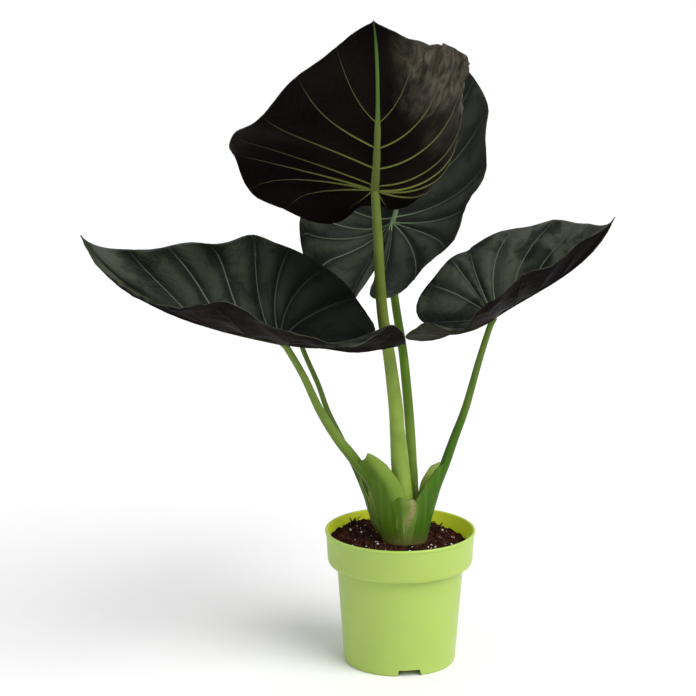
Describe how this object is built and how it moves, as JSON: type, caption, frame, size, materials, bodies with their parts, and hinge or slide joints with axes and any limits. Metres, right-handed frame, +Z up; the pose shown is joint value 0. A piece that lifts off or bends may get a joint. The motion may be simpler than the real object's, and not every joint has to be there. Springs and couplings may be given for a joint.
{
  "type": "potted regal shields alocasia",
  "caption": "Potted shield alocasia with long-stalked dark waved leaves on a short stem, standing in potting soil in a round lime-green grow pot.",
  "frame": {"origin": "on the pot's axis, in the plane that the pot stands on", "axes": "+Z up along the pot's axis, -Y towards the viewer of the picture, +X to the viewer's right"},
  "size_m": [0.5567, 0.5479, 0.7482],
  "materials": {
    "pot_plastic": "smooth satin lime-green plastic",
    "potting_soil": "dark, coarse peat with white perlite",
    "stem": "matte, greenish brown",
    "stalk": "smooth, slightly glossy green",
    "leaf": "dark green-black, satin above, purple-black below"
  },
  "bodies": {
    "root": {"pot": "pot_plastic", "soil": "potting_soil", "stem_base": "stem", "stalk_front": "stalk", "stalk_back": "stalk", "stalk_left": "stalk", "stalk_right": "stalk", "stalk_small": "stalk", "blade_front": "leaf", "blade_back": "leaf", "blade_left": "leaf", "blade_right": "leaf", "blade_small": "leaf"}
  },
  "joints": []
}
